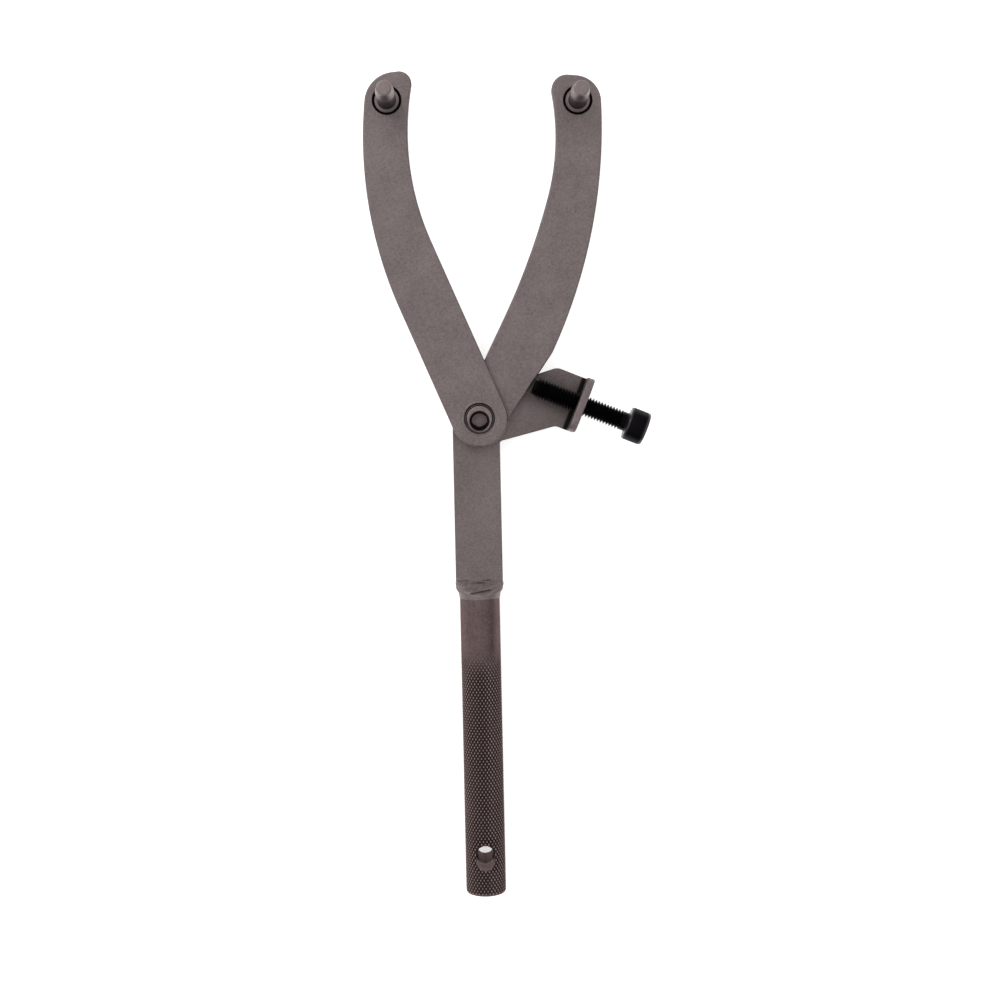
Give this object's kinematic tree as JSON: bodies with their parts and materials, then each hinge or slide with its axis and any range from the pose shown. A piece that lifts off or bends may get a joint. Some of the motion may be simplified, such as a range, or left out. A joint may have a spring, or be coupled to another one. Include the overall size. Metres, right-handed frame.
{
  "type": "adjustable pin spanner",
  "caption": "Adjustable Y-shaped pin spanner: two curved arms with face pins on one rivet, a socket-head adjusting screw in a bent flange, and a knurled rod handle.",
  "frame": {"origin": "on the pivot axis, on the flat back of the rivet's head", "axes": "+Y from the pivot towards the pins, away from the handle rod; +Z along the pivot axis towards the side the pins stand on; +X towards the adjusting screw"},
  "size_m": [0.1122, 0.3287, 0.0382],
  "materials": {
    "arm_steel": "matt tumbled",
    "plate_steel": "matt tumbled",
    "knurled_steel": "diamond knurled",
    "weld_metal": "rippled weld, plated over",
    "rivet_steel": "satin",
    "pin_steel": "satin turned",
    "black_oxide": "black oxide, oiled"
  },
  "bodies": {
    "handle": {"handle_plate": "plate_steel", "weld_bead": "weld_metal", "handle_rod": "knurled_steel", "pivot_rivet": "rivet_steel"},
    "left_arm": {"left_arm": "arm_steel", "left_pin": "pin_steel"},
    "right_arm": {"right_arm": "arm_steel", "right_pin": "pin_steel"},
    "screw": {"adjusting_screw": "black_oxide"}
  },
  "joints": [
    {"name": "left_arm_swing", "type": "hinge", "parent": "handle", "child": "left_arm", "pos_m": [0, 0, 0.0113], "axis": [0, 0, 1], "range_deg": [-13, 40]},
    {"name": "right_arm_swing", "type": "hinge", "parent": "handle", "child": "right_arm", "pos_m": [0, 0, 0.00715], "axis": [0, 0, 1], "range_deg": [-5, 12]},
    {"name": "screw_feed", "type": "slide", "parent": "handle", "child": "screw", "axis": [-0.9232, 0.3843, 0], "range_m": [-0.0022, 0.0053]}
  ],
  "couplings": [
    {"joint": "screw_feed", "follows": "right_arm_swing", "m_per_rad": 0.025}
  ]
}
